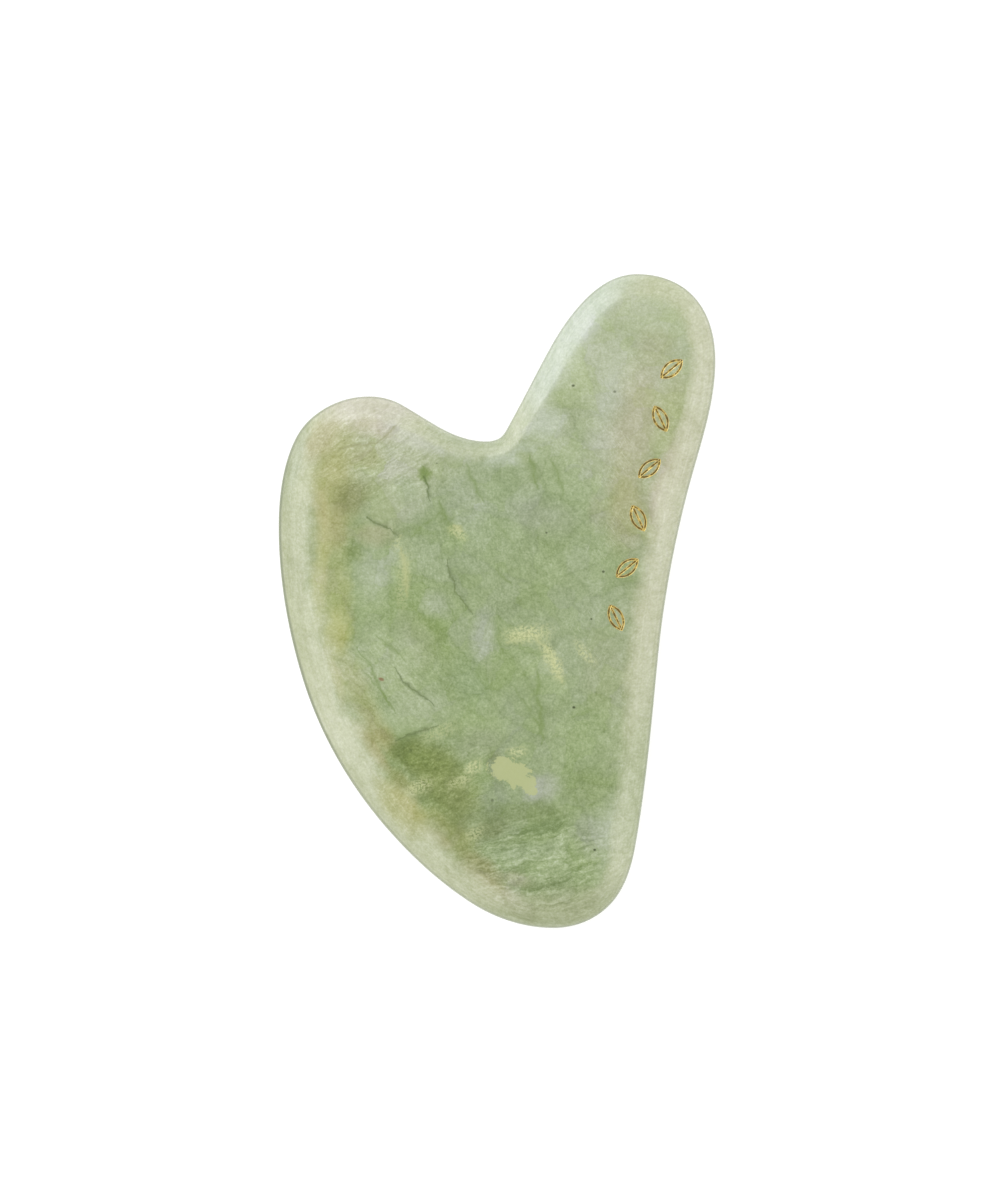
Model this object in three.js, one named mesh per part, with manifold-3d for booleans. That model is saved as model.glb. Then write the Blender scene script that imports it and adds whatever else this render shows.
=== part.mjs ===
// Gua sha scraper: one heart-shaped plate of polished jade, with a long finger lobe, a short round
// lobe and a notch between them. Six leaf marks are engraved along the finger lobe and filled with
// gilding. Millimetres, +Z up. The plate lies on its underside, and the origin is on that underside,
// below the middle of the plate's length and width.

import * as THREE from "three";
import { LoftGeometry } from "three/addons/geometries/LoftGeometry.js";
import { mergeVertices } from "three/addons/utils/BufferGeometryUtils.js";
import Module from "manifold-3d";

// The plate.
const HALF_LENGTH = 49.05;
const HALF_WIDTH = 32.75;
const THICKNESS = 6;

// The outline's knots, counterclockwise from the finger lobe's end: x, y, the heading in degrees,
// and how wide the ground edge is there, from the rim in to the flat face.
const KNOTS = [
  [21.0, HALF_LENGTH, 180, 3.4], // end of the finger lobe
  [10.5, 42.0, 234, 3.4],
  [7.0, 36.2, 242, 3.2], // the finger lobe's straight inner side
  [1.6, 26.0, 241, 2.6],
  [0.6, 24.6, 219, 2.4], // the notch's tight corner
  [-2.0, 23.95, 178, 2.4], // the bottom of the notch
  [-9.5, 26.55, 149, 2.6],
  [-14.2, 29.4, 150, 3.0],
  [-19.2, 30.7, 180, 3.6], // end of the short lobe
  [-28.4, 26.9, 225, 4.4],
  [-31.2, 22.0, 251, 4.8],
  [-HALF_WIDTH, 11.0, 270, 5.0], // the long scraping edge
  [-29.2, -11.5, 287, 5.0],
  [-16.6, -34.0, 311, 4.8],
  [-4.0, -45.2, 327, 4.2],
  [8.5, -HALF_LENGTH, 0, 3.4], // the foot
  [16.8, -45.7, 45, 3.4],
  [20.8, -36.5, 80, 4.0],
  [24.1, -9.0, 84.5, 4.2], // the shallow waist
  [28.9, 17.5, 75, 4.0],
  [HALF_WIDTH, 36.0, 90, 3.8],
  [29.5, 45.7, 133, 3.4],
];
const TURN_PER_CHORD = 7; // degrees
const LONGEST_CHORD = 4;

// The ground edge's section is a quarter of a superellipse. The first power leaves a soft ridge
// where it meets the flat face, and the second rounds the rim.
const FACE_POWER = 1.35;
const RIM_POWER = 2.4;
const EDGE_RINGS = 7;

// The marks: their count, where the first and last are centred, and how far each leans from the run.
const MARK_COUNT = 6;
const FIRST_MARK = new THREE.Vector2(17.8, -2.5);
const LAST_MARK = new THREE.Vector2(26.1, 34.7);
const MARK_LEAN = 38;
const LEAF_HALF_LENGTH = 1.95;
const LEAF_HALF_WIDTH = 0.95;
const LINE_WIDTH = 0.38;
const ENGRAVED_DEPTH = 0.3;
const FILL_BELOW_FACE = 0.05;
const FILL_GAP = 0.02; // between the gilding and the stone, all round
const ARC_POINTS = 14;

const jade = new THREE.MeshStandardMaterial({ color: 0xa9ba92, roughness: 0.22, metalness: 0 });
const gilding = new THREE.MeshStandardMaterial({ color: 0xb98d3a, roughness: 0.35, metalness: 1 });

const wasm = await Module();
wasm.setup();

function solidFrom(geometry) {
  const bare = new THREE.BufferGeometry().setAttribute("position", geometry.getAttribute("position").clone());
  if (geometry.index) bare.setIndex(geometry.index.clone());
  const merged = mergeVertices(bare);
  return new wasm.Manifold(
    new wasm.Mesh({
      numProp: 3,
      vertProperties: new Float32Array(merged.getAttribute("position").array),
      triVerts: new Uint32Array(merged.index.array),
    }),
  );
}

function geometryFrom(solid) {
  const mesh = solid.getMesh();
  const geometry = new THREE.BufferGeometry();
  geometry.setAttribute("position", new THREE.BufferAttribute(mesh.vertProperties, 3));
  geometry.setIndex(new THREE.BufferAttribute(mesh.triVerts, 1));
  geometry.computeVertexNormals();
  return geometry;
}

// The stretch between two knots, as near to a circular arc as its two headings allow.
function spanBetween([x0, y0, heading0], [x1, y1, heading1]) {
  const start = new THREE.Vector2(x0, y0);
  const end = new THREE.Vector2(x1, y1);
  const turn = THREE.MathUtils.euclideanModulo(heading1 - heading0 + 180, 360) - 180;
  const handle = start.distanceTo(end) / (3 * Math.cos(THREE.MathUtils.degToRad(turn / 4)) ** 2);
  const along = (degrees) => {
    const angle = THREE.MathUtils.degToRad(degrees);
    return new THREE.Vector2(Math.cos(angle), Math.sin(angle)).multiplyScalar(handle);
  };
  const curve = new THREE.CubicBezierCurve(
    start,
    start.clone().add(along(heading0)),
    end.clone().sub(along(heading1)),
    end,
  );
  return { curve, turn: Math.abs(turn), length: start.distanceTo(end) };
}

// Points round the rim, each with the direction in to the face and the ground edge's width there.
function rimPoints() {
  return KNOTS.flatMap((knot, i) => {
    const next = KNOTS[(i + 1) % KNOTS.length];
    const { curve, turn, length } = spanBetween(knot, next);
    const chords = Math.ceil(Math.max(turn / TURN_PER_CHORD, length / LONGEST_CHORD));
    return Array.from({ length: chords }, (_, k) => {
      const tangent = curve.getTangent(k / chords);
      return {
        at: curve.getPoint(k / chords),
        inward: new THREE.Vector2(-tangent.y, tangent.x),
        edge: THREE.MathUtils.lerp(knot[3], next[3], THREE.MathUtils.smoothstep(k / chords, 0, 1)),
      };
    });
  });
}

// One ring of the plate's surface. share runs from 0 at the rim to 1 at the flat face, and side is
// -1 below the middle of the thickness and 1 above it.
function ringAt(rim, share, side) {
  const rise = (THICKNESS / 2) * (1 - (1 - share) ** FACE_POWER) ** (1 / RIM_POWER);
  return rim.map(({ at, inward, edge }) => {
    const place = at.clone().addScaledVector(inward, edge * share);
    return new THREE.Vector3(place.x, place.y, THICKNESS / 2 + side * rise);
  });
}

function plateBlank() {
  const rim = rimPoints();
  const rings = [];
  for (let k = -EDGE_RINGS; k <= EDGE_RINGS; k++) {
    const share = 1 - Math.cos((Math.abs(k) / EDGE_RINGS) * (Math.PI / 2));
    rings.push(ringAt(rim, share, Math.sign(k)));
  }
  return new LoftGeometry(rings, { capStart: true, capEnd: true });
}

// A leaf drawn with one line: two bowed edges that meet in points, and a straight midrib along X.
// grow widens the line by that much on each side.
function leafShape(grow) {
  const line = LINE_WIDTH / 2 + grow;
  const bowRadius = (LEAF_HALF_LENGTH ** 2 + LEAF_HALF_WIDTH ** 2) / (2 * LEAF_HALF_WIDTH);
  const bowCentre = bowRadius - LEAF_HALF_WIDTH;
  const outside = bowRadius + line;
  const outsideStart = Math.asin(bowCentre / outside);
  const inside = bowRadius - line;
  const insideStart = Math.asin((bowCentre + line) / inside);

  const leaf = new THREE.Shape();
  leaf.absarc(0, -bowCentre, outside, outsideStart, Math.PI - outsideStart, false);
  leaf.absarc(0, bowCentre, outside, Math.PI + outsideStart, 2 * Math.PI - outsideStart, false);
  for (const half of [0, Math.PI]) {
    const space = new THREE.Path();
    const centre = half === 0 ? -bowCentre : bowCentre;
    space.absarc(0, centre, inside, half + insideStart, half + Math.PI - insideStart, false);
    leaf.holes.push(space);
  }
  return leaf;
}

function leafSolid(grow, bottom, top) {
  const geometry = new THREE.ExtrudeGeometry(leafShape(grow), {
    depth: top - bottom,
    bevelEnabled: false,
    curveSegments: ARC_POINTS,
  });
  return geometry.translate(0, 0, bottom);
}

// Each mark's place on the upper face, leaning to one side of the run and then to the other.
function markPlaces() {
  const run = LAST_MARK.clone().sub(FIRST_MARK);
  return Array.from({ length: MARK_COUNT }, (_, i) => {
    const lean = THREE.MathUtils.degToRad(i % 2 === 0 ? MARK_LEAN : -MARK_LEAN);
    const centre = FIRST_MARK.clone().addScaledVector(run, i / (MARK_COUNT - 1));
    return { centre, angle: run.angle() + lean };
  });
}

function gildedLeaf(place, index) {
  const fill = leafSolid(0, FILL_GAP - ENGRAVED_DEPTH, -FILL_BELOW_FACE);
  const leaf = new THREE.Mesh(fill, gilding);
  leaf.name = `gilded_leaf_${index + 1}`;
  leaf.position.set(place.centre.x, place.centre.y, THICKNESS);
  leaf.rotation.z = place.angle;
  return leaf;
}

function jadePlate(leaves) {
  let stone = solidFrom(plateBlank());
  const groove = leafSolid(FILL_GAP, -ENGRAVED_DEPTH, THICKNESS);
  for (const leaf of leaves) {
    leaf.updateMatrixWorld(true);
    stone = stone.subtract(solidFrom(groove.clone().applyMatrix4(leaf.matrixWorld)));
  }
  const plate = new THREE.Mesh(geometryFrom(stone), jade);
  plate.name = "jade_plate";
  return plate;
}

const scraper = new THREE.Group();
const leaves = markPlaces().map(gildedLeaf);
scraper.add(jadePlate(leaves), ...leaves);

export default scraper;
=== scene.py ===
# %% [markdown]
# # A gua sha scraper in jade
#
# A gua sha scraper is one flat stone with a heart-like outline. It is sawn from a slab, ground
# round at the edge and polished by hand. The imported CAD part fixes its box, its two flat faces and
# its six engraved leaf marks. This lesson makes what an eye looks for: an edge that hands have
# ground, cloudy stone with veins in it, and gilding that has settled in its grooves.

import math

import bpy
import numpy as np
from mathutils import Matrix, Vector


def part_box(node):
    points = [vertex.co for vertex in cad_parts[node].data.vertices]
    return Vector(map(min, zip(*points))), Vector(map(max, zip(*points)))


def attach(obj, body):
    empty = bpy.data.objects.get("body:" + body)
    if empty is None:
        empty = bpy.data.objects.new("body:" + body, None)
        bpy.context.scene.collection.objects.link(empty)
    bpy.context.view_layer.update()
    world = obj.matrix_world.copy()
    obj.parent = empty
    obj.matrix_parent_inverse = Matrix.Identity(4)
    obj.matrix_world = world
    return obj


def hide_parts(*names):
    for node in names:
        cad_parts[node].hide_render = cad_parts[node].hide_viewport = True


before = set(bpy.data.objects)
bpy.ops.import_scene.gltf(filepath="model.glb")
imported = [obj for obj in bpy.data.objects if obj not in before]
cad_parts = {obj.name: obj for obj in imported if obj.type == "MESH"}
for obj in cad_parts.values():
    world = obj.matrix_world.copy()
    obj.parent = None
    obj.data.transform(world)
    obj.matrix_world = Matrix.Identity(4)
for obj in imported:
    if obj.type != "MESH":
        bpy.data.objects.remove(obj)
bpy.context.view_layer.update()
MM = 0.001
plate_low, plate_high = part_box("jade_plate")
half_length = plate_high.y / MM
half_width = plate_high.x / MM
thickness = (plate_high.z - plate_low.z) / MM
print(f"plate: {2 * half_width:.1f} x {2 * half_length:.1f} x {thickness:.1f} mm")

# %% [markdown]
# ## The camera
#
# The stone is looked at from straight above, so the camera hangs over it and its view's top is +Y.
# A long lens from far away keeps the sides of the plate out of sight. The lens follows from the
# height of the view and the distance: both are measured at the middle of the thickness, where the
# outline is widest.

# %% Hang the camera
VIEW_HEIGHT = 0.180
CAMERA_HEIGHT = 0.9
SENSOR = 36.0
VIEW_CENTRE = (0.00045, 0.00015)

camera_data = bpy.data.cameras.new("camera")
camera_data.sensor_fit = "VERTICAL"
camera_data.sensor_height = SENSOR
camera_data.lens = SENSOR * (CAMERA_HEIGHT - thickness * MM / 2) / VIEW_HEIGHT
camera_data.clip_start = 0.01
camera = bpy.data.objects.new("camera", camera_data)
camera.location = (*VIEW_CENTRE, CAMERA_HEIGHT)
bpy.context.scene.collection.objects.link(camera)
bpy.context.scene.camera = camera
print(f"lens: {camera_data.lens:.0f} mm")

# %% [markdown]
# ## Floor and lamps
#
# A pale glossy stone is shown best on white, in light that comes from nearly everywhere: a white
# room does most of the work, one large softbox at the upper left gives the ground edge its gleam,
# and a weaker one opposite keeps the right side alive. The floor gives light of its own, as a
# light table does, and that lifts the shadow under the edge. The Standard view transform shows
# each colour as it is mixed, with no film curve over it.


# %% Lay the floor and hang the lamps
def softbox(name, place, size, watts):
    """A square area lamp at place, turned so that its -Z axis points at the origin."""
    lamp_data = bpy.data.lights.new(name, "AREA")
    lamp_data.size = size
    lamp_data.energy = watts
    lamp = bpy.data.objects.new(name, lamp_data)
    lamp.location = place
    lamp.rotation_euler = (-lamp.location).to_track_quat("-Z", "Y").to_euler()
    bpy.context.scene.collection.objects.link(lamp)


def new_material(name):
    """A material that uses nodes, its node tree and its Principled shader."""
    material = bpy.data.materials.new(name)
    material.use_nodes = True
    return material, material.node_tree, material.node_tree.nodes["Principled BSDF"]


def set_inputs(node, values):
    """Sets a node's inputs, each by its name."""
    for name, value in values.items():
        node.inputs[name].default_value = value


FLOOR_HALF = 3.0
FLOOR_DROP = 0.00005
ROOM_STRENGTH = 0.84
FLOOR_GLOW = 0.62
corners = np.array([(-1, -1), (1, -1), (1, 1), (-1, 1)]) * FLOOR_HALF
floor_mesh = bpy.data.meshes.new("floor")
floor_mesh.from_pydata([(x, y, -FLOOR_DROP) for x, y in corners], [], [(0, 1, 2, 3)])
floor = bpy.data.objects.new("floor", floor_mesh)
bpy.context.scene.collection.objects.link(floor)

floor_white, _, paper = new_material("floor_white")
set_inputs(paper, {
    "Base Color": (0.55, 0.55, 0.55, 1), "Roughness": 0.9, "Specular IOR Level": 0.1,
    "Emission Color": (1, 1, 1, 1), "Emission Strength": FLOOR_GLOW})
floor_mesh.materials.append(floor_white)

room = bpy.data.worlds.new("white_room")
room.use_nodes = True
set_inputs(room.node_tree.nodes["Background"], {"Color": (1, 1, 1, 1), "Strength": ROOM_STRENGTH})
bpy.context.scene.world = room
softbox("key_softbox", (-0.7, 0.55, 0.9), 1.3, 7.0)
softbox("fill_softbox", (0.9, -0.35, 0.7), 1.0, 2.0)
bpy.context.scene.view_settings.view_transform = "Standard"

# %% [markdown]
# ## The outline
#
# A template for a stone like this is drawn with a few arcs that run into each other. Here it is a
# ring of knots, each with its place, its heading and the width of the ground edge. Between two
# knots runs one Bezier curve, as near to an arc as the two headings allow. All the curves are
# worked out at once, and the result is stepped off in equal lengths, so that the mesh has even
# columns.

# %% Draw the outline
KNOTS = np.array([
    # x mm, y mm, heading in degrees, ground edge's width in mm
    (21.0, half_length, 180, 3.4),  # end of the finger lobe
    (10.5, 42.0, 234, 3.4),
    (7.0, 36.2, 242, 3.2),  # the finger lobe's straight inner side
    (1.6, 26.0, 241, 2.6),
    (0.6, 24.6, 219, 2.4),  # the notch's tight corner
    (-2.0, 23.95, 178, 2.4),  # the bottom of the notch
    (-9.5, 26.55, 149, 2.6),
    (-14.2, 29.4, 150, 3.0),
    (-19.2, 30.7, 180, 3.6),  # end of the short lobe
    (-28.4, 26.9, 225, 4.4),
    (-31.2, 22.0, 251, 4.8),
    (-half_width, 11.0, 270, 5.0),  # the long scraping edge
    (-29.2, -11.5, 287, 5.0),
    (-16.6, -34.0, 311, 4.8),
    (-4.0, -45.2, 327, 4.2),
    (8.5, -half_length, 0, 3.4),  # the foot
    (16.8, -45.7, 45, 3.4),
    (20.8, -36.5, 80, 4.0),
    (24.1, -9.0, 84.5, 4.2),  # the shallow waist
    (28.9, 17.5, 75, 4.0),
    (half_width, 36.0, 90, 3.8),
    (29.5, 45.7, 133, 3.4),
])
COLUMNS = 640
STEPS_PER_SPAN = 60


def unit(degrees):
    """The direction of each heading, as rows of (cosine, sine)."""
    return np.stack([np.cos(np.radians(degrees)), np.sin(np.radians(degrees))], axis=-1)


def outline(columns):
    """Places, inward directions and edge widths at equal steps round the outline.

    Each span is a cubic Bezier curve. Its handles have the length chord / (3 cos^2(turn / 4)),
    which on a circle gives back the circle's arc.
    """
    start, end = KNOTS, np.roll(KNOTS, -1, axis=0)
    chord = np.linalg.norm(end[:, :2] - start[:, :2], axis=1)
    turn = (end[:, 2] - start[:, 2] + 180) % 360 - 180
    handle = (chord / (3 * np.cos(np.radians(turn / 4)) ** 2))[:, None]
    hold = np.stack([start[:, :2], start[:, :2] + handle * unit(start[:, 2]),
                     end[:, :2] - handle * unit(end[:, 2]), end[:, :2]], axis=1)
    t = np.linspace(0, 1, STEPS_PER_SPAN, endpoint=False)[None, :, None]
    weights = [(1 - t) ** 3, 3 * t * (1 - t) ** 2, 3 * t**2 * (1 - t), t**3]
    curve = sum(w * hold[:, k, None, :] for k, w in enumerate(weights)).reshape(-1, 2)
    ease = 3 * t**2 - 2 * t**3
    width = (start[:, None, 3:] * (1 - ease) + end[:, None, 3:] * ease).ravel()

    ahead = np.roll(curve, -1, axis=0)
    run = np.concatenate([[0], np.cumsum(np.linalg.norm(ahead - curve, axis=1))])
    steps = np.linspace(0, run[-1], columns, endpoint=False)
    closed = np.concatenate([curve, curve[:1]])
    place = np.stack([np.interp(steps, run, closed[:, k]) for k in (0, 1)], axis=-1)
    along = np.roll(place, -1, axis=0) - np.roll(place, 1, axis=0)
    along /= np.linalg.norm(along, axis=1, keepdims=True)
    inward = np.stack([-along[:, 1], along[:, 0]], axis=-1)
    return place, inward, np.interp(steps, run, np.append(width, width[0])), run[-1]


rim, inward, edge_width, perimeter = outline(COLUMNS)
reach = np.abs(rim).max(axis=0)
print(f"outline: {perimeter:.0f} mm round, reaches {reach[0]:.2f} and {reach[1]:.2f} mm")

# %% [markdown]
# ## From a grid of points to a mesh
#
# Every new piece here is a grid: rings of points, each ring closed on itself, and one point at
# each end that closes the skin. The stone's rings run from the middle of its underside, out over
# the ground edge, and back to the middle of its face. A groove's rings run along its path. One
# function turns either grid into a mesh, and the volume it measures says whether the skin faces
# outwards.


# %% Skin a grid
def skin(name, rings, first, last):
    """A closed mesh over rings of shape (rings, columns, 3) in mm, with a pole at each end.

    Its volume is a sixth of the sum of a . (b x c) over the triangles, which is negative when the
    faces look inwards. Then they are turned round.
    """
    count, columns = rings.shape[:2]
    points = np.concatenate([rings.reshape(-1, 3), [first, last]])
    index = np.arange(count * columns).reshape(count, columns)
    beside = np.roll(index, -1, axis=1)
    quads = np.stack([index[:-1], beside[:-1], beside[1:], index[1:]], axis=-1).reshape(-1, 4)
    pole = np.full(columns, count * columns)
    caps = np.concatenate([np.stack([pole, beside[0], index[0]], axis=-1),
                           np.stack([index[-1], beside[-1], pole + 1], axis=-1)])
    thirds = np.concatenate([quads[:, [0, 1, 2]], quads[:, [0, 2, 3]], caps])
    a, b, c = points[thirds].transpose(1, 0, 2)
    volume = np.einsum("ij,ij->", a, np.cross(b, c)) / 6
    if volume < 0:
        quads, caps = quads[:, ::-1], caps[:, ::-1]
    mesh = bpy.data.meshes.new(name)
    mesh.from_pydata((points * MM).tolist(), [], quads.tolist() + caps.tolist())
    mesh.shade_smooth()
    piece = bpy.data.objects.new(name, mesh)
    bpy.context.scene.collection.objects.link(piece)
    return piece, abs(volume)


# %% [markdown]
# ## The ground stone
#
# The edge is a quarter of a superellipse above and below the middle: the rim is round enough for
# skin, and a soft ridge is left where the edge meets the flat face. A hand at a grinding wheel
# never holds the width of that edge quite even, so it wanders a little round the stone, and the
# wheel leaves a second, fainter line a third of the way in. Beside the ridge the rings are close,
# so that smooth shading has settled before the face begins.

# %% Grind the edge
RIDGE_POWER = 1.35
RIM_POWER = 2.4
EDGE_RINGS = 30
WANDER = 0.05
WHEEL_LINE_AT = 0.31
WHEEL_LINE_WIDTH = 0.045
WHEEL_LINE_HEIGHT = 0.022
LEAST_PRESSURE, MORE_PRESSURE = 0.6, 0.4
FACE_CENTRE = np.array([6.0, -3.0])
BESIDE_RIDGE = (0.2, 0.6, 1.3)  # mm in from the ridge
FACE_RINGS = 10

turns = np.arange(COLUMNS) / COLUMNS


def wander(seed, waves, steepness=1.0):
    """A smooth, closed, random line round the stone: a sum of sines, weaker as they get shorter."""
    rng = np.random.default_rng(seed)
    order = np.arange(1, waves + 1)[:, None]
    phase = rng.uniform(0, 2 * np.pi, (waves, 1))
    line = (np.sin(2 * np.pi * order * turns + phase) / order**steepness).sum(axis=0)
    return line / np.abs(line).max()


def edge_ring(share, side):
    """One ring of the ground edge. share is 0 at the rim and 1 at the ridge, side is -1 or 1.

    The height above the middle is T/2 (1 - (1 - share)^p)^(1/q), plus the wheel's line, a low
    bell curve. The place is the rim's, moved inward by share of the edge's width.
    """
    height = thickness / 2 * (1 - (1 - share) ** RIDGE_POWER) ** (1 / RIM_POWER)
    line = WHEEL_LINE_HEIGHT * np.exp(-(((share - WHEEL_LINE_AT) / WHEEL_LINE_WIDTH) ** 2))
    lift = height + line * (LEAST_PRESSURE + MORE_PRESSURE * wheel_pressure)
    place = rim + inward * (ground_width * share)[:, None]
    return np.column_stack([place, thickness / 2 + side * np.minimum(lift, thickness / 2)])


def face_ring(share_left, inset, side):
    """A ring on the flat face: the ridge's ring, shrunk towards the face's centre."""
    ridge = rim + inward * ground_width[:, None]
    spoke = FACE_CENTRE - ridge
    length = np.linalg.norm(spoke, axis=1, keepdims=True)
    place = ridge + spoke * (inset / length + (1 - inset / length) * (1 - share_left))
    return np.column_stack([place, np.full(COLUMNS, thickness / 2 + side * thickness / 2)])


def half(side):
    """The rings of the lower or the upper half, from the rim to the middle of its face."""
    rings = [edge_ring(s, side) for s in shares]
    rings += [face_ring(1, inset, side) for inset in BESIDE_RIDGE]
    return rings + [face_ring(s, BESIDE_RIDGE[-1], side) for s in left]


ground_width = edge_width * (1 + WANDER * wander(4, 23, 0.6))
wheel_pressure = wander(9, 11, 0.5)
shares = 1 - np.cos(np.linspace(0, np.pi / 2, EDGE_RINGS))
left = np.linspace(1, 0, FACE_RINGS, endpoint=False)[1:]
stone, stone_volume = skin("polished_stone", np.array(half(-1)[:0:-1] + half(1)),
                           (*FACE_CENTRE, 0), (*FACE_CENTRE, thickness))
print(f"stone: {len(stone.data.polygons)} faces, {stone_volume / 1000:.1f} cm3")

# %% [markdown]
# ## How far in from the rim
#
# Grinding and polishing follow the edge, so the material needs to know where the edge is. A UV
# map holds that: U goes once round the outline, and V is the distance in from the rim, counted in
# widths of the ground edge. V is 0 at the rim, 1 at the ridge, and more on the flat face. A face
# that spans the place where U starts over takes U on past 1, and the two poles take the U of the
# face that they close.

# %% Unroll the edge into a UV map
EDGE_MAP = "edge"
EARLY, LATE = 0.25, 0.75  # U
to_centre = np.linalg.norm(FACE_CENTRE - (rim + inward * ground_width[:, None]), axis=1)
face_v = [1 + inset / ground_width for inset in BESIDE_RIDGE]
face_v += [1 + (BESIDE_RIDGE[-1] * s + to_centre * (1 - s)) / ground_width for s in left]
edge_v = [np.full(COLUMNS, s) for s in shares]
ring_v = np.array((edge_v[1:] + face_v)[::-1] + edge_v + face_v)
pole_v = (1 + to_centre / ground_width).mean()

corner = np.zeros(len(stone.data.loops), np.int64)
stone.data.loops.foreach_get("vertex_index", corner)
v = np.append(ring_v.ravel(), [pole_v, pole_v])[corner]
u = np.append(np.tile(turns, len(ring_v)), [np.nan, np.nan])[corner]
sides = np.zeros(len(stone.data.polygons), np.int64)
stone.data.polygons.foreach_get("loop_total", sides)
face_of = np.repeat(np.arange(len(sides)), sides)
highest = np.zeros(len(sides))
np.fmax.at(highest, face_of, np.nan_to_num(u))
u = np.where(np.isnan(u), highest[face_of], u)
u = np.where((highest[face_of] > LATE) & (u < EARLY), u + 1, u)
edge_map = stone.data.uv_layers.new(name=EDGE_MAP)
edge_map.data.foreach_set("uv", np.column_stack([u, v]).ravel())
print(f"edge map: V from {v.min():.1f} to {v.max():.1f}, U up to {u.max():.3f}")

# %% [markdown]
# ## The leaf marks
#
# Each mark is drawn with three strokes: two bowed edges and a straight midrib. A small round burr
# cuts them, so a stroke has a round floor and round ends, and its lips are a little worn. The same
# stroke is carried along its path twice, once as the cutter that opens the groove and once as the
# gold that lies in it. The marks' places come from the CAD nodes.

# %% Stroke and mark
LEAF_HALF_LENGTH = 1.95
LEAF_HALF_WIDTH = 0.95
MARK_LEAN = 38
HALF_LINE = 0.19
STROKE_STEPS = 44
END_STEPS = 7
POLE_REACH = 0.2

boxes = [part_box(f"gilded_leaf_{n}") for n in range(1, 7)]
mark_centres = np.array([(low + high) / 2 for low, high in boxes])[:, :2] / MM
run = mark_centres[-1] - mark_centres[0]
run_angle = math.degrees(math.atan2(run[1], run[0]))
mark_angles = [run_angle + MARK_LEAN * (1 if n % 2 == 0 else -1) for n in range(len(boxes))]
print("marks at", mark_centres.round(1).tolist())


def stroke_path(bow):
    """Places, across directions and narrowing along one stroke, from tip to tip.

    bow is 1 or -1 for the two edges and 0 for the midrib. An edge is the arc through the two tips
    with the leaf's half width as its rise. Past each tip the stroke goes on for half its line and
    narrows as a circle does, which rounds its end.
    """
    past = HALF_LINE * np.sin(np.linspace(0, np.pi / 2, END_STEPS + 1)[1:-1])
    if bow == 0:
        body = np.linspace(-LEAF_HALF_LENGTH, LEAF_HALF_LENGTH, STROKE_STEPS)
        place = np.column_stack([body, np.zeros_like(body)])
        heading = np.zeros_like(body)
    else:
        radius = (LEAF_HALF_LENGTH**2 + LEAF_HALF_WIDTH**2) / (2 * LEAF_HALF_WIDTH)
        swing = np.arcsin(LEAF_HALF_LENGTH / radius)
        angle = np.linspace(-swing, swing, STROKE_STEPS)
        place = np.column_stack([radius * np.sin(angle),
                                 bow * (radius * np.cos(angle) - radius + LEAF_HALF_WIDTH)])
        heading = -bow * angle
    along = unit(np.degrees(heading))
    before = place[0] - past[::-1, None] * along[0]
    after = place[-1] + past[:, None] * along[-1]
    place = np.concatenate([before, place, after])
    along = np.concatenate([np.tile(along[0], (len(past), 1)), along,
                            np.tile(along[-1], (len(past), 1))])
    round_off = np.sqrt(1 - (past / HALF_LINE) ** 2)
    narrow = np.concatenate([round_off[::-1], np.ones(STROKE_STEPS), round_off])
    return place, np.column_stack([-along[:, 1], along[:, 0]]), narrow


def stroke(name, bow, section, number):
    """One stroke: a closed section of (across, height) carried along its path on the stone's face.

    The section is scaled across by the path's narrowing. Each tip is closed by a pole, a small part
    of a step past the last ring.
    """
    place, across, narrow = stroke_path(bow)
    turn = math.radians(mark_angles[number])
    turned = np.array([(math.cos(turn), math.sin(turn)), (-math.sin(turn), math.cos(turn))])
    flat = place[:, None] + across[:, None] * (section[None, :, :1] * narrow[:, None, None])
    flat = flat @ turned + mark_centres[number]
    height = np.broadcast_to(thickness + section[:, 1], flat.shape[:2])
    rings = np.concatenate([flat, height[..., None]], axis=2)
    tips = place[[0, -1]] + (place[[0, -1]] - place[[1, -2]]) * POLE_REACH
    tips = tips @ turned + mark_centres[number]
    deep = thickness + section[:, 1].mean()
    return skin(name, rings, (*tips[0], deep), (*tips[1], deep))[0]


# %% [markdown]
# ## Cut the grooves
#
# A groove that an eye can see has to be in the mesh, because a bump can't shade its own walls.
# The cutter's section is a burr's: a round floor, straight walls, and a lip that opens a little
# at the face. A Boolean takes all the strokes of all the marks out of the stone in one go. Its
# manifold solver is quick and needs closed skins, which these are. It keeps the UV map, so the
# cutters carry one too, with a V that lies well inside the face. It is applied at once, and the
# stone is an ordinary mesh again.

# %% Cut with a burr
GROOVE_DEPTH = 0.30
FLOOR_ARC = 0.12
LIP_DROP = 0.035
LIP_FLARE = 0.04
CUTTER_RISE = 0.5
FLOOR_POINTS = 9
GROOVE_V = 3.0
SHARP = math.radians(32)

bend = np.linspace(0, np.pi, FLOOR_POINTS)
burr = np.column_stack([HALF_LINE * np.cos(bend), -GROOVE_DEPTH + FLOOR_ARC * (1 - np.sin(bend))])
lip = np.array([(HALF_LINE + LIP_FLARE, CUTTER_RISE), (HALF_LINE + LIP_FLARE, 0.0),
                (HALF_LINE, -LIP_DROP)])
burr = np.concatenate([lip, burr, lip[::-1] * (-1, 1)])


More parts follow.
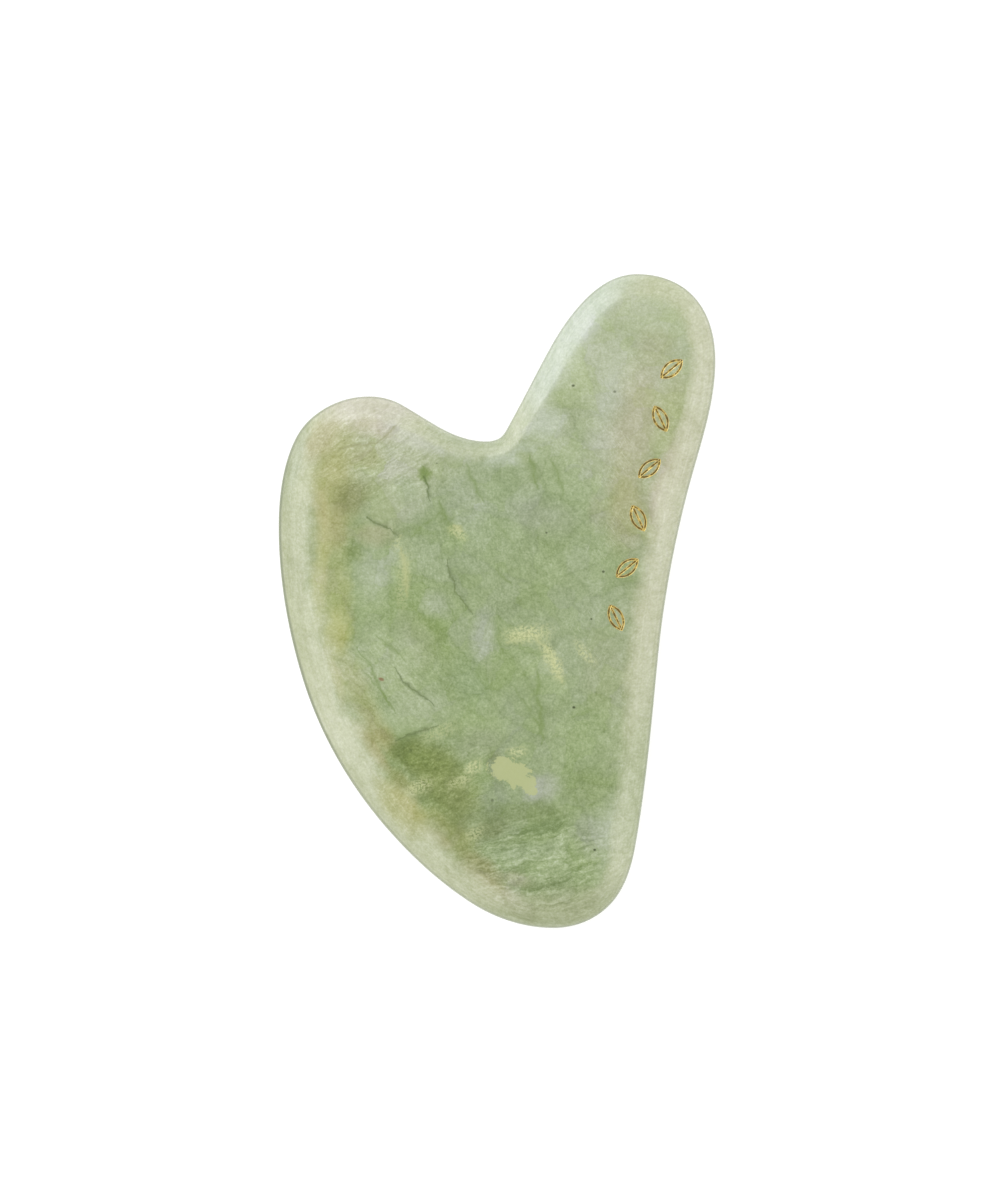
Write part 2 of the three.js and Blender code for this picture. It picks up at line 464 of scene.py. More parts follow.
def in_one(piece, operation, others):
    """Joins the others to the piece, or takes them out of it, and leaves a plain mesh."""
    tray = bpy.data.collections.new("tray")
    for other in others:
        tray.objects.link(other)
    boolean = piece.modifiers.new(operation.lower(), "BOOLEAN")
    boolean.operation = operation
    boolean.solver = "MANIFOLD"
    boolean.operand_type = "COLLECTION"
    boolean.collection = tray
    graph = bpy.context.evaluated_depsgraph_get()
    made = bpy.data.meshes.new_from_object(piece.evaluated_get(graph), depsgraph=graph)
    made.name = piece.name
    piece.modifiers.clear()
    piece.data = made
    for other in others:
        bpy.data.objects.remove(other)
    bpy.data.collections.remove(tray)


cutters = [stroke(f"burr_{n}_{bow}", bow, burr, n) for n in range(len(boxes)) for bow in (-1, 0, 1)]
for cutter in cutters:
    groove_map = cutter.data.uv_layers.new(name=EDGE_MAP)
    groove_map.data.foreach_set("uv", np.tile((0.0, GROOVE_V), len(cutter.data.loops)))
in_one(stone, "DIFFERENCE", cutters)
stone.data.set_sharp_from_angle(angle=SHARP)
print(f"cut stone: {len(stone.data.polygons)} faces, maps {[m.name for m in stone.data.uv_layers]}")

# %% [markdown]
# ## The gilding
#
# Gold paint is wiped into the grooves and the face is wiped clean, so the gold's top lies just
# below the face and sinks towards the middle of each line. Its underside is the groove's floor.
# The three strokes of a mark are joined into one piece.

# %% Fill the grooves with gold
FILL_DROP = 0.045
FILL_SINK = 0.03
FILL_CLEAR = 0.002
TOP_POINTS = 7

across = np.linspace(1, -1, TOP_POINTS)
fill_top = np.column_stack([(HALF_LINE - FILL_CLEAR) * across,
                            -FILL_DROP - FILL_SINK * (1 - across**2)])
fill_floor = np.column_stack([
    -(HALF_LINE - FILL_CLEAR) * np.cos(bend),
    FILL_CLEAR - GROOVE_DEPTH + FLOOR_ARC * (1 - np.sin(bend))])
fill = np.concatenate([fill_top, fill_floor])

gilding = []
for number in range(len(boxes)):
    strokes = [stroke(f"gilding_{number + 1}", bow, fill, number) for bow in (0, -1, 1)]
    in_one(strokes[0], "UNION", strokes[1:])
    strokes[0].name = f"gilding_{number + 1}"
    strokes[0].data.set_sharp_from_angle(angle=SHARP)
    gilding.append(strokes[0])
print("gilding:", [len(piece.data.polygons) for piece in gilding], "faces")

# %% [markdown]
# ## Nodes in few words
#
# Shader graphs are long to write out, so a few helpers keep them short: one adds a node with its
# settings and inputs, and the others name the nodes that are used most. Colours are written as the
# eye sees them on the polished stone. Polish adds a thin white sheen of its own, so that sheen is
# taken off before a colour goes into the shader.

# %% Helpers for shader graphs
SHEEN = 0.035
LAMP_GAIN = 1.10


def seen(code):
    """The base colour, in linear light, that shows as this sRGB code under the lamps."""
    channels = np.array([int(code[k:k + 2], 16) for k in (1, 3, 5)]) / 255
    linear = np.where(channels <= 0.04045, channels / 12.92, ((channels + 0.055) / 1.055) ** 2.4)
    return (*(np.clip(linear - SHEEN, 0.001, 1) / LAMP_GAIN).tolist(), 1)


def put(tree, kind, inputs, **settings):
    """A new shader node. inputs gives sockets by name or number, each a value or an output."""
    node = tree.nodes.new("ShaderNode" + kind)
    for name, value in settings.items():
        setattr(node, name, value)
    for socket, value in dict(inputs).items():
        if isinstance(value, bpy.types.NodeSocket):
            tree.links.new(value, node.inputs[socket])
        else:
            node.inputs[socket].default_value = value
    return node


def maths(tree, operation, *values):
    """The number that a Math node makes of these."""
    return put(tree, "Math", enumerate(values), operation=operation).outputs[0]


def vectors(tree, operation, *values):
    """The vector that a Vector Math node makes of these."""
    return put(tree, "VectorMath", enumerate(values), operation=operation).outputs["Vector"]


def times(tree, vector, amount):
    """A vector times a number."""
    return put(tree, "VectorMath", {0: vector, "Scale": amount}, operation="SCALE").outputs[0]


def step(tree, value, low, high):
    """A smooth step from 0, where the value is low, to 1, where it is high. low may be the larger."""
    return put(tree, "MapRange", {"Value": value, "From Min": low, "From Max": high},
               interpolation_type="SMOOTHSTEP").outputs[0]


def summed(tree, start, parts):
    """start, plus each part's number times its amount."""
    total = start
    for number, amount in parts:
        total = maths(tree, "MULTIPLY_ADD", number, amount, total)
    return total


def fill_in(tree, shader, colour, rough, height):
    """Puts a colour, a roughness and a bump height in mm into a shader."""
    bump = put(tree, "Bump", {"Height": height, "Distance": MM, "Strength": 1.0})
    tree.links.new(bump.outputs[0], shader.inputs["Normal"])
    tree.links.new(rough, shader.inputs["Roughness"])
    tree.links.new(colour, shader.inputs["Base Color"])


def dress(pieces, material):
    """Gives each piece this material and no other."""
    for piece in pieces:
        piece.data.materials.clear()
        piece.data.materials.append(material)


def tinted(tree, colour, tint, factor):
    """The colour, mixed with a tint by a factor."""
    return put(tree, "Mix", {0: factor, 6: colour, 7: tint}, data_type="RGBA").outputs[2]


def noise(tree, place, scale, detail=2.0, roughness=0.5, as_vector=False):
    """Noise about zero, from -0.5 to 0.5, as a number or as a vector."""
    inputs = {"Vector": place, "Scale": scale, "Detail": detail, "Roughness": roughness}
    node = put(tree, "TexNoise", inputs)
    if as_vector:
        return vectors(tree, "SUBTRACT", node.outputs["Color"], (0.5, 0.5, 0.5))
    return maths(tree, "SUBTRACT", node.outputs["Fac"], 0.5)


def new_group(name, inputs, outputs):
    """An empty node group with typed sockets, with the sockets inside it to build between."""
    group = bpy.data.node_groups.new(name, "ShaderNodeTree")
    for direction, sockets in (("INPUT", inputs), ("OUTPUT", outputs)):
        for label, kind in sockets.items():
            group.interface.new_socket(label, in_out=direction, socket_type="NodeSocket" + kind)
    return group, group.nodes.new("NodeGroupInput").outputs, group.nodes.new("NodeGroupOutput").inputs


# %% [markdown]
# ## Where a pattern sits in the stone
#
# Clouds and veins run on below the surface, so their pattern is read from Object coordinates, in
# millimetres from the stone's face. It leans as it goes down, which makes the underside show its
# own picture and not the face's. Two warps, one broad and one fine, bend it, so that nothing
# keeps a ruled or an oval edge.

# %% The stone's own coordinates
LEAN = (0.55, 0.35)
BROAD_WARP = 3.4
FINE_WARP = 1.5

stone_place, given, made = new_group(
    "stone_place", {"Object": "Vector"}, {"Place": "Vector", "Bent": "Vector"})
in_mm = times(stone_place, given["Object"], 1 / MM)
from_face = vectors(stone_place, "SUBTRACT", in_mm, (0, 0, thickness))
down = put(stone_place, "SeparateXYZ", {0: from_face}).outputs["Z"]
lean = put(stone_place, "CombineXYZ", {0: maths(stone_place, "MULTIPLY", down, LEAN[0]),
                                       1: maths(stone_place, "MULTIPLY", down, LEAN[1])})
place = vectors(stone_place, "ADD", from_face, lean.outputs[0])
broad = times(stone_place, noise(stone_place, place, 0.09, as_vector=True), BROAD_WARP)
fine = times(stone_place, noise(stone_place, place, 0.6, 3.0, 0.6, as_vector=True), FINE_WARP)
bent = vectors(stone_place, "ADD", place, vectors(stone_place, "ADD", broad, fine))
stone_place.links.new(place, made["Place"])
stone_place.links.new(bent, made["Bent"])

# %% [markdown]
# ## Patches, veins and fibres
#
# Three small groups do all the drawing inside the stone. A patch is a soft oval that the warp has
# made into a cloud. Its axes are vectors over the half sizes, so a dot product says how far along
# an axis a place is, in half sizes. A vein is the distance from a straight line, and it gets thin
# at its ends. Fibres are noise stretched one way, like the felted needles that jade is made of.
# Patches and veins come by the dozen, so they use only plain number and vector nodes: Cycles keeps
# unfinished values in a small store, and dozens of Mapping and Map Range nodes fill it.

# %% The patch group
def eased(tree, value):
    """A number held between 0 and 1 and eased at both ends: t * t * (3 - 2 t)."""
    t = put(tree, "Clamp", {0: value}).outputs[0]
    return maths(tree, "MULTIPLY", maths(tree, "MULTIPLY", t, t), maths(tree, "MULTIPLY_ADD", t, -2, 3))


def dot(tree, one, other):
    """The dot product of two vectors."""
    return put(tree, "VectorMath", {0: one, 1: other}, operation="DOT_PRODUCT").outputs["Value"]


PATCH_SPILL = 0.3

patch, given, made = new_group("patch", {
    "Place": "Vector", "Centre": "Vector", "Along": "Vector", "Across": "Vector", "Down": "Vector",
    "Softness": "Float", "Strength": "Float"}, {"Mask": "Float"})
reach = vectors(patch, "SUBTRACT", given["Place"], given["Centre"])
squares = 0.0
for axis in ("Along", "Across", "Down"):
    part = dot(patch, reach, given[axis])
    squares = maths(patch, "MULTIPLY_ADD", part, part, squares)
outer = maths(patch, "MULTIPLY_ADD", given["Softness"], PATCH_SPILL, 1.0)
inside = maths(patch, "SUBTRACT", outer, maths(patch, "SQRT", squares))
mask = eased(patch, maths(patch, "DIVIDE", inside, given["Softness"]))
patch.links.new(maths(patch, "MULTIPLY", mask, given["Strength"]), made["Mask"])

# %% The vein group
VEIN_TAPER = 0.3  # the share of its length over which each end narrows
VEIN_TIP = 0.35  # the share of its width left at the tip

vein, given, made = new_group("vein", {
    "Place": "Vector", "Start": "Vector", "End": "Vector", "Half Width": "Float",
    "Strength": "Float"}, {"Mask": "Float"})
flat = vectors(vein, "MULTIPLY", given["Place"], (1, 1, 0))
reach = vectors(vein, "SUBTRACT", flat, given["Start"])
line = vectors(vein, "SUBTRACT", given["End"], given["Start"])
share = maths(vein, "DIVIDE", dot(vein, reach, line), dot(vein, line, line))
along = put(vein, "Clamp", {0: share}).outputs[0]
off = vectors(vein, "SUBTRACT", reach, times(vein, line, along))
distance = put(vein, "VectorMath", {0: off}, operation="LENGTH").outputs["Value"]
from_middle = maths(vein, "ABSOLUTE", maths(vein, "SUBTRACT", along, 0.5))
from_end = maths(vein, "SUBTRACT", 0.5, from_middle)
full = eased(vein, maths(vein, "DIVIDE", from_end, VEIN_TAPER))
full = maths(vein, "MULTIPLY_ADD", full, 1 - VEIN_TIP, VEIN_TIP)
width = maths(vein, "MULTIPLY", given["Half Width"], full)
near = maths(vein, "SUBTRACT", 1.0, maths(vein, "DIVIDE", distance, width))
near = put(vein, "Clamp", {0: near}).outputs[0]
mask = maths(vein, "MULTIPLY", near, near)
vein.links.new(maths(vein, "MULTIPLY", mask, given["Strength"]), made["Mask"])

# %% The fibre group
fibre, given, made = new_group("fibre", {
    "Place": "Vector", "Turn": "Float", "Length": "Float", "Width": "Float"}, {"Value": "Float"})
turned = put(fibre, "CombineXYZ", {2: maths(fibre, "RADIANS", given["Turn"])}).outputs[0]
size = put(fibre, "CombineXYZ", {0: given["Length"], 1: given["Width"], 2: given["Width"]}).outputs[0]
local = put(fibre, "Mapping", {"Vector": given["Place"], "Rotation": turned, "Scale": size},
            vector_type="TEXTURE").outputs[0]
fibre.links.new(noise(fibre, local, 1.0, 3.0, 0.6), made["Value"])

# %% [markdown]
# ## The marks that hands leave
#
# Stone and gold are handled alike, so both materials share one group for it: fine scratches that
# lie two ways, dull smudges, and small pits. It gives masks, and each material decides how much
# they roughen it.

# %% The wear group
SCRATCH_TURNS = (-52, 64)
SCRATCH_LENGTH, SCRATCH_WIDTH = 3.0, 0.11
# the noise at which each mark begins, and at which it is full
SCRATCH_EDGE, SMUDGE_EDGE, PIT_EDGE = (0.11, 0.21), (-0.05, 0.2), (0.26, 0.34)

wear, given, made = new_group("hand_wear", {"Place": "Vector", "Scratches": "Float"}, {
    "Scratches": "Float", "Smudges": "Float", "Pits": "Float"})
scratch = 0.0
for turn in SCRATCH_TURNS:
    lines = put(wear, "Group", {"Place": given["Place"], "Turn": turn, "Length": SCRATCH_LENGTH,
                                "Width": SCRATCH_WIDTH}, node_tree=fibre).outputs[0]
    scratch = maths(wear, "MAXIMUM", scratch, step(wear, lines, *SCRATCH_EDGE))
wear.links.new(maths(wear, "MULTIPLY", scratch, given["Scratches"]), made["Scratches"])
wear.links.new(step(wear, noise(wear, given["Place"], 0.22, 3.0, 0.6), *SMUDGE_EDGE), made["Smudges"])
wear.links.new(step(wear, noise(wear, given["Place"], 1.9, 1.0), *PIT_EDGE), made["Pits"])

# %% [markdown]
# ## Clouds in the stone
#
# Stone sold as jade is rarely one green. This one is olive where iron has crept in along its left
# edge, milky where the lobes are thin, and mossy near the foot. Each cloud is a patch with a place
# in millimetres, a size, a turn, how soft it is, how deep it goes and its colour. They are laid
# over each other in order, from the broad ones to the small ones.

# %% Mix the clouds
GROUND = "#9DAD80"
THROUGH = 30  # mm deep, so as good as right through the stone
CLOUDS = [
    # x, y, half length, half width, turn, softness, depth, strength, colour
    (19, 38, 23, 18, 75, 0.8, 30, 0.95, "#B9C3A1"),  # the finger lobe is paler
    (-18, 24, 16, 11, 5, 0.8, 30, 0.85, "#BBC2A1"),  # so is the short lobe
    (1, 13, 16, 11, 0, 1, 30, 0.55, "#A5B48E"),
    (11, -6, 13, 7, 75, 1, 20, 0.6, "#A6B38F"),
    (20.5, -10, 24, 4, 84, 0.9, 20, 0.65, "#ABB690"),  # beside the right edge
    (5, 5, 9, 7, 30, 1, 12, 0.45, "#9AAA7B"),
    # The next three are partly milk and partly a painted reflection of the key softbox on the finger's
    # inner edge.
    (8.5, 38.5, 9, 5, 58, 1, 20, 0.6, "#DEE5D9"),  # milk along the finger's inner side
    (13.2, 43.2, 6, 3.4, 45, 1, 20, 0.55, "#DFE6DC"),
    (4.3, 30, 7, 3.6, 62, 1, 20, 0.6, "#DBE0D3"),
    (11.5, 28.5, 7, 3.4, 118, 1, 9, 0.65, "#A2B083"),
    (14, 22.5, 5, 2.2, 115, 1, 9, 0.45, "#A6B58C"),
    (17.5, 31, 4, 2.4, 60, 1, 9, 0.5, "#BFC7B0"),
    (20.5, 25, 13, 4.2, 78, 1, 9, 0.62, "#BCBA98"),  # a blush beside the marks
    (19.5, 13.5, 7, 3.8, 80, 1, 9, 0.6, "#B6B38F"),
    (26, 28, 8, 2.4, 78, 1, 9, 0.55, "#AEB483"),
    (-7, 23, 4.8, 1.9, -10, 1, 15, 0.8, "#C2C9B3"),  # milk under the notch
    (1.8, 21.8, 4.2, 2, 5, 1, 15, 0.8, "#C3CEB2"),
    (-18.5, 28.5, 11, 4.4, 0, 0.9, 20, 0.9, "#D2CDBA"),
    (-12.5, 25.6, 6, 2.6, -28, 1, 9, 0.8, "#CDD1BF"),
    (-16, 20.6, 6, 3, 20, 1, 9, 0.55, "#BCC3A6"),
    (-24.7, 16.5, 11.5, 3.9, 86, 0.9, 20, 0.92, "#B9BB88"),  # olive along the left edge
    (-26.6, 24.2, 4, 2.4, 60, 1, 20, 0.6, "#C0BA90"),
    (-21.6, 15.2, 4, 2.6, 40, 1, 9, 0.7, "#8F9466"),
    (-23.9, 10.4, 3.6, 1.8, 80, 1, 9, 0.25, "#A39E6A"),
    (-23.6, 0.5, 8, 2.3, 88, 0.9, 20, 0.85, "#ADB67F"),
    (-23.8, -5.2, 4, 2.4, 100, 1, 9, 0.8, "#B8BB80"),
    (-21.2, -12.6, 6, 2.6, 113, 1, 20, 0.8, "#B2B888"),
    (-17.6, -19.8, 4.6, 2.2, 124, 1, 20, 0.85, "#ADAD78"),
    (-18, 5, 6, 3.2, 82, 1, 9, 0.7, "#B4BFA2"),  # pale clouds inside the left edge
    (-16, -10, 7, 5, -50, 1, 12, 0.75, "#B4BF9E"),
    (-12.6, -16.6, 7, 3, 15, 1, 12, 0.85, "#ADB996"),
    (-21.2, 7.2, 2.2, 1.4, -20, 1, 5, 0.6, "#8B9C62"),
    (-10.5, -4.5, 5.4, 2.6, -45, 1, 9, 0.85, "#8CA063"),
    (-11, 19, 1.3, 1.1, 80, 1, 5, 0.75, "#8FA262"),
    (-7, 10.6, 3.4, 1.5, -62, 1, 5, 0.5, "#90A467"),
    (-1.8, -5.2, 4.6, 2.2, 86, 1, 6, 0.7, "#AEB79F"),  # grey clouds in the middle
    (-2.6, -21, 5, 3, 10, 1, 6, 0.6, "#9CA588"),
    (-11, -23.8, 6.4, 3.6, -16, 0.9, 9, 0.95, "#7E8D52"),  # moss near the foot
    (-7.5, -28.8, 6.5, 4.2, -32, 1, 9, 0.85, "#87935A"),
    (-13.4, -31, 5, 1.8, -48, 1, 15, 0.85, "#B7B67B"),
    (-6.4, -35.4, 5, 3.2, -42, 1, 9, 0.85, "#98A069"),
    (-2.4, -39.8, 4, 1.8, -35, 1, 9, 0.75, "#9B9C6D"),
    (-0.5, -29, 2.6, 2.6, 0, 1, 6, 0.6, "#A2AD92"),
    (6.8, -28.4, 3.6, 2.4, 15, 0.9, 6, 0.9, "#AFB7A0"),
    (15, -28.2, 5.4, 3.8, 0, 1, 9, 0.85, "#8FA16C"),
    (4, -31.6, 7.5, 1.7, -3, 1, 6, 0.75, "#889868"),
    (16.9, -35.5, 7, 2.6, 80, 1, 15, 0.75, "#B7C2A2"),
    (8.5, -45.8, 10, 3.6, 5, 1, 20, 0.8, "#B3B998"),
    (0, -44, 6, 2.4, -27, 1, 20, 0.9, "#BFBD9F"),
    (-5, 14.5, 3.6, 4.2, 0, 1, 9, 0.6, "#ABB59B"),  # more grey clouds, each small
    (7, 12.5, 6.5, 3, -15, 1, 9, 0.55, "#A7B094"),
    (15, 22, 2.8, 5, -15, 1, 9, 0.55, "#B6BBA4"),
    (7.5, 27, 3, 2.6, 30, 1, 9, 0.6, "#C3CCB8"),
    (-9, -0.5, 2.6, 2.2, 0, 1, 6, 0.6, "#A9B398"),
    (2.6, -15.8, 2.8, 4, 0, 1, 6, 0.6, "#A5B192"),
    (-4, -12, 2.6, 4.4, 15, 1, 6, 0.5, "#93A67C"),
    (16, -10, 3.4, 7, 0, 1, 9, 0.5, "#ADB690"),
    (-19.5, 21.6, 2.8, 2, 0, 1, 6, 0.5, "#A9A87E"),
    (-16, 13, 5, 3, 20, 1, 6, 0.55, "#B6BD9E"),
    (-26.2, 3.5, 8, 1.5, 88, 1, 20, 0.7, "#C6C793"),
    (-26.6, 13, 5, 1.3, 92, 1, 20, 0.5, "#C6C293"),
    (-18.9, -22.4, 5, 1.3, 124, 1, 20, 0.7, "#ABA670"),
    (-24.2, -11.2, 5, 1.1, 105, 1, 20, 0.6, "#BDBA86"),
    (-2.9, -41.4, 4.4, 1.1, -32, 1, 20, 0.55, "#A7A272"),
    (20.6, -9, 11, 1.6, 84, 1, 20, 0.85, "#98A474"),
    (3.9, 21.6, 1.5, 1.2, 0, 1, 6, 0.6, "#93A466"),
    (13.5, -35, 2.6, 3.4, 0, 1, 6, 0.6, "#A9B396"),
    (4.5, -37.5, 5, 1.6, 10, 1, 6, 0.4, "#A8B596"),
    (-1, -33.8, 3, 1.8, 20, 1, 6, 0.7, "#83905F"),  # and dark ones among the fibres
    (6.5, -34, 4, 1.2, 12, 1, 6, 0.6, "#859769"),
    (7, -42, 5, 1.2, 16, 1, 6, 0.6, "#8A9A6C"),
    (-0.6, -24.6, 1.4, 1.8, 0, 1, 6, 0.6, "#8A9870"),
    (-9.4, -32.6, 2.4, 1.4, -45, 1, 6, 0.5, "#A6AB74"),
    (25.6, 17.5, 10, 2.4, 72, 1, 9, 0.75, "#CBC6AC"),  # pale beside the marks
    (-14.2, -27.6, 3.4, 1.3, -45, 1, 6, 0.6, "#939659"),  # the smallest touches
    (-8.8, -35.8, 2.6, 1.2, -42, 1, 6, 0.5, "#A19C68"),
    (-12, -5.5, 3, 5, 35, 1, 9, 0.4, "#B5BAA3"),
    (-18.6, 10, 3.6, 1.8, 0, 1, 9, 0.45, "#BDB89C"),
    (-14, 16, 2, 2.6, 0, 1, 6, 0.45, "#9FAF87"),
    (14.6, 13.2, 1.6, 3.2, 0, 1, 6, 0.45, "#BDBFA4"),
    (3, -41.4, 3.2, 1.2, -10, 1, 6, 0.5, "#B7B69B"),
    (23.4, 38.4, 3, 3.2, 0, 1, 9, 0.45, "#ADB288"),
    (20.6, 44.6, 5.4, 2.6, 0, 1, 15, 0.55, "#C4CAB4"),
    (-0.2, -23.4, 1.4, 1.2, 0, 1, 6, 0.5, "#828F5C"),
    (5, 18.6, 1.8, 2.6, -15, 1, 6, 0.45, "#AAB78F"),
    (22, 30, 1.4, 1.8, 0, 1, 6, 0.45, "#BFC0A3"),
    (-3, 22, 1.6, 1.2, 0, 1, 6, 0.5, "#AFBA8F"),
    (-7.2, 22.8, 1.8, 1, -15, 1, 6, 0.5, "#C6CDBA"),
]


def read_place(tree):
    """The straight place and the bent place in the stone, in mm."""
    object_place = put(tree, "TexCoord", {}).outputs["Object"]
    here = put(tree, "Group", {"Object": object_place}, node_tree=stone_place).outputs
    return here["Place"], here["Bent"]


jade, tree, polish = new_material("polished_jade")
place, bent = read_place(tree)


def patch_mask(x, y, length, width, turn, softness, depth, strength, where=None):
    """A patch's mask on the stone, with its centre on the face."""
    along, across = unit(turn) / length, unit(turn + 90) / width
    return put(tree, "Group", {
        "Place": where or bent, "Centre": (x, y, 0), "Along": (*along, 0), "Across": (*across, 0),
        "Down": (0, 0, 1 / depth), "Softness": softness, "Strength": strength},
        node_tree=patch).outputs[0]


colour = seen(GROUND)
for *shape, code in CLOUDS:
    colour = tinted(tree, colour, seen(code), patch_mask(*shape))
print(f"{len(CLOUDS)} clouds in the stone")

# %% [markdown]
# ## Depth of colour
#
# Light that goes deeper into translucent stone comes back darker and greener. Raising a colour to
# a power does the same: a power over 1 darkens the weak channels most. So the fine mottling is
# added up as a depth and put in as that power. It has four sizes of noise, and sets of fibres that
# lie their own way in each part of the stone. Under both is a mosaic of grains, in two sizes: each
# grain has its own tone and leans a little to milk or to moss, and the seams between are darker.

# %% Mottle the stone
MOTTLES = [(0.16, 0.24), (0.5, 0.32), (1.6, 0.50), (3.4, 0.62)]  # size per mm, amount
FIBRES = [
    # x, y, half length, half width of the region, fibre turn, fibre length, width, amount
    (6, -39, 14, 8, 14, 5, 0.42, 1.45),  # the foot
    (-17, -12, 12, 8, -45, 3, 0.32, 0.75),
    (-3, 5, 16, 20, 112, 3.2, 0.34, 0.5),
    (-18, 22, 12, 9, 32, 3.2, 0.34, 1.1),
    (14, -20, 10, 14, 80, 2.4, 0.34, 0.45),
    (18, 25, 14, 25, -50, 2, 0.28, 0.35),
    (-8, -27, 12, 8, 25, 2.2, 0.34, 0.8),
]
MOSAIC = [
    # cells per mm, turn, stretch, tone, seam
    (0.15, -52, 1.7, 0.08, 0.08),
    (0.36, 38, 1.5, 0.07, 0.05),
]
MILKY, MOSSY = (1.02, 1.00, 1.07, 1), (0.98, 0.995, 0.92, 1)
SEAM_WIDTH = 0.10

depth = 1.0
for size, turn, stretch, tone, seam in MOSAIC:
    turned = put(tree, "Mapping", {"Vector": bent, "Rotation": (0, 0, math.radians(turn)),
                                   "Scale": (stretch, 1, 1)}, vector_type="TEXTURE").outputs[0]
    cells = {"Vector": turned, "Scale": size}
    grain = put(tree, "SeparateColor", {0: put(tree, "TexVoronoi", cells).outputs["Color"]}).outputs
    gap = put(tree, "TexVoronoi", cells, feature="DISTANCE_TO_EDGE").outputs["Distance"]
    tone_here = maths(tree, "SUBTRACT", grain["Red"], 0.5)
    depth = summed(tree, depth, [(tone_here, tone), (step(tree, gap, SEAM_WIDTH, 0.0), seam)])
    hue = tinted(tree, MILKY, MOSSY, grain["Green"])
    colour = put(tree, "Mix", {0: 1.0, 6: colour, 7: hue}, data_type="RGBA",
                 blend_type="MULTIPLY").outputs[2]
depth = summed(tree, depth, [(noise(tree, place, size, 2.0, 0.55), amount)
                             for size, amount in MOTTLES])
for x, y, length, width, turn, grain_length, grain_width, amount in FIBRES:
    needles = put(tree, "Group", {"Place": bent, "Turn": turn, "Length": grain_length,
                                  "Width": grain_width}, node_tree=fibre).outputs[0]
    region = patch_mask(x, y, length, width, 0, 0.8, THROUGH, amount)
    depth = maths(tree, "MULTIPLY_ADD", needles, region, depth)
colour = put(tree, "Gamma", {"Color": colour, "Gamma": depth}).outputs[0]

# %% [markdown]
# ## Veins, crumbs and specks
#
# Cracks that healed long ago are left as green and olive lines, a few of them cream. One big crumb
# of another mineral floats near the foot: patches give it its place, and noise makes its edge
# ragged. Nests of fine cream crystals lie round it and in the middle, and finer noise breaks them
# through and through. Last come a few black specks and a rusty one, each with its own small place.

# %% Draw the veins
DARK, GREEN, OLIVE, CREAM = "#66764A", "#7E9356", "#9C9D74", "#C8CC92"
VEINS = [
    # x0, y0, x1, y1, half width, strength, colour
    (-19.4, 12.6, -15.6, 10.5, 0.55, 0.8, DARK),
    (-15.6, 10.5, -13.8, 9.8, 0.5, 0.6, DARK),
    (-6.9, 6.2, -6, 1.2, 0.5, 0.75, DARK),
    (-6, 1.6, -3.4, -2.2, 0.5, 0.65, DARK),
    (-7.4, 0.2, -5.6, -4.4, 0.6, 0.45, GREEN),
    (-15.6, -10.2, -9.6, -15.3, 0.55, 0.8, DARK),
    (-20.8, -7, -16.2, -15.6, 0.6, 0.6, GREEN),
    (-18.4, -5.4, -14, -8.8, 0.6, 0.6, GREEN),
    (-19.6, -11.2, -15, -16.6, 0.6, 0.55, GREEN),
    (-15, -21, -9.4, -18.4, 0.6, 0.8, DARK),
    (-11.2, 20.4, -10.9, 17.4, 1.3, 0.8, GREEN),
    (-11, 18.8, -10.4, 14.4, 0.6, 0.85, DARK),
    (-8.8, 14.6, -5.8, 8.8, 1.3, 0.6, GREEN),
    (-12.6, 9.2, -8.6, 13.2, 0.8, 0.5, GREEN),
    (-4.8, 20.6, -2, 14.6, 1.0, 0.55, GREEN),
    (4.6, 21.6, 6, 17.2, 1.5, 0.65, GREEN),
    (8, 21.4, 9.6, 16.2, 1.1, 0.55, GREEN),
    (-0.5, 5.2, 1.9, 2.2, 0.6, 0.5, GREEN),
    (0.6, -3.4, 1.2, -8.6, 0.7, 0.4, GREEN),
    (-1.4, 12.6, 2.6, 8.4, 0.6, 0.35, GREEN),
    (6.2, -10.4, 6.3, -21.2, 1.0, 0.6, GREEN),
    (2.4, -12.4, 6, -19, 0.7, 0.4, GREEN),
    (10.4, -17.6, 14.6, -16, 0.8, 0.45, GREEN),
    (-23.6, 22.6, -18, 23.9, 0.6, 0.65, OLIVE),
    (-18, 23.9, -14, 27.2, 0.6, 0.65, OLIVE),
    (-21.8, 20.8, -18.6, 23.2, 0.55, 0.5, OLIVE),
    (-9.6, -37.3, -10.9, -38.1, 0.4, 0.6, "#7E8660"),
    (-14, 8.4, -13, 1, 1.2, 0.6, "#BCC088"),
    (-6.4, 10.8, -5.2, 9.8, 1.0, 0.65, "#B9BC86"),
    (2.1, -6.2, 5.7, -4.8, 1.3, 0.45, CREAM),
    (5.7, -4.8, 7.4, -6.8, 1.1, 0.4, CREAM),
    (7.4, -6.8, 8.4, -9.6, 1.3, 0.5, CREAM),
    (8.2, -9.4, 9.4, -12.2, 1.2, 0.45, CREAM),
]

for x0, y0, x1, y1, half_width_here, strength, code in VEINS:
    mask = put(tree, "Group", {"Place": bent, "Start": (x0, y0, 0), "End": (x1, y1, 0),
                               "Half Width": half_width_here, "Strength": strength},
               node_tree=vein).outputs[0]
    colour = tinted(tree, colour, seen(code), mask)
print(f"{len(VEINS)} veins")

